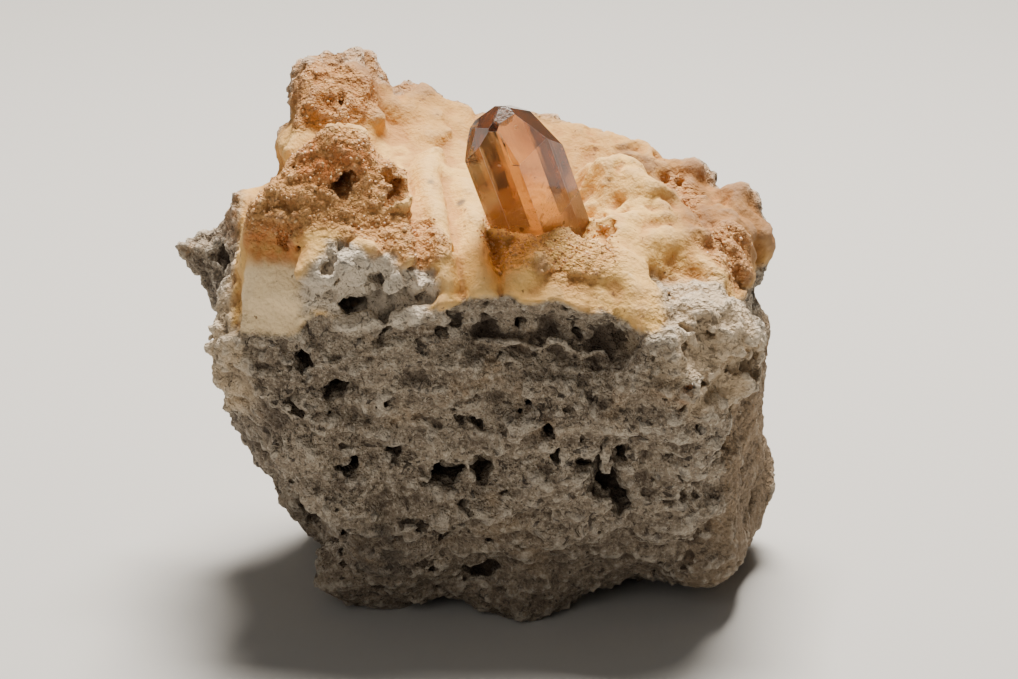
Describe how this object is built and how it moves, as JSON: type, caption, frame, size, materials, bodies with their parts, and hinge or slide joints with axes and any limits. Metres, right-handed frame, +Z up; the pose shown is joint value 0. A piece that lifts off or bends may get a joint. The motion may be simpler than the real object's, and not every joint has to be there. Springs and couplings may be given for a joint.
{
  "type": "topaz crystal specimen",
  "caption": "Stout sherry-coloured topaz crystal leaning out of the fluted cavity of a pale, porous rhyolite matrix lump, broken on all other sides",
  "frame": {"origin": "middle of the footprint, on the surface the matrix rests on", "axes": "+X to the right along the longest side, +Y to the back, +Z up; the fluted cavity opens to the front and top"},
  "size_m": [0.0554, 0.0386, 0.0494],
  "materials": {
    "matrix_rock": "matte",
    "topaz": "gloss"
  },
  "bodies": {
    "root": {"rhyolite_matrix": "matrix_rock", "topaz_crystal": "topaz"}
  },
  "joints": []
}
